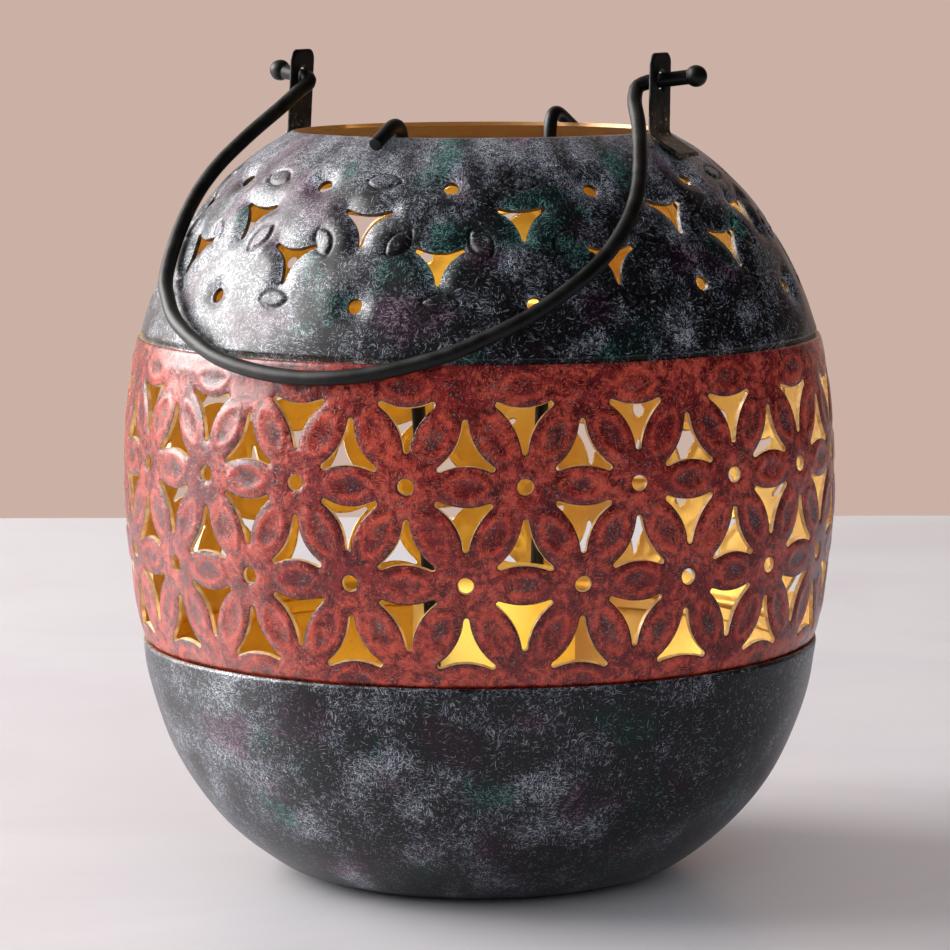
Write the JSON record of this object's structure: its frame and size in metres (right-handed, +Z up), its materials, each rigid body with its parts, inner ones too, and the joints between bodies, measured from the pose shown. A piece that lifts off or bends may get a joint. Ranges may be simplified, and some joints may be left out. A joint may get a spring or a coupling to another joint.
{
  "type": "hanging candle lantern",
  "caption": "Round pierced sheet-metal candle lantern with a plain bowl, a flower-lattice band, a domed open cap, two strap lugs and a swinging wire bail.",
  "frame": {"origin": "centre of the flat foot of the bowl, on the surface it stands on", "axes": "+Z up; +X from the lantern's axis to the right lug, along the bail's hinge line; -Y is the side where the bail lies down"},
  "size_m": [0.19, 0.1911, 0.2189],
  "materials": {
    "patina": "near-black speckled patina outside, gold paint inside",
    "red_patina": "deep red patina outside, gold paint inside",
    "black_iron": "satin black",
    "wax": "wax",
    "wick": "matte"
  },
  "bodies": {
    "shell": {"bottom_bowl": "patina", "pierced_band": "red_patina", "top_cap": "patina", "lug_right": "black_iron", "lug_left": "black_iron"},
    "bail": {"bail_wire": "black_iron", "bail_ball_right": "black_iron", "bail_ball_left": "black_iron"},
    "holder": {"hanger_wire_front": "black_iron", "hanger_wire_back": "black_iron", "candle_cup": "black_iron"},
    "candle": {"candle": "wax", "candle_wick": "wick"}
  },
  "joints": [
    {"name": "bail_swing", "type": "hinge", "parent": "shell", "child": "bail", "pos_m": [0, 0, 0.2117], "axis": [-1, 0, 0], "range_deg": [0, 254]},
    {"name": "holder_lift", "type": "slide", "parent": "shell", "child": "holder", "axis": [0, 0, 1], "range_m": [0, 0.18]},
    {"name": "candle_lift", "type": "slide", "parent": "holder", "child": "candle", "axis": [0, 0, 1], "range_m": [0, 0.18]}
  ]
}
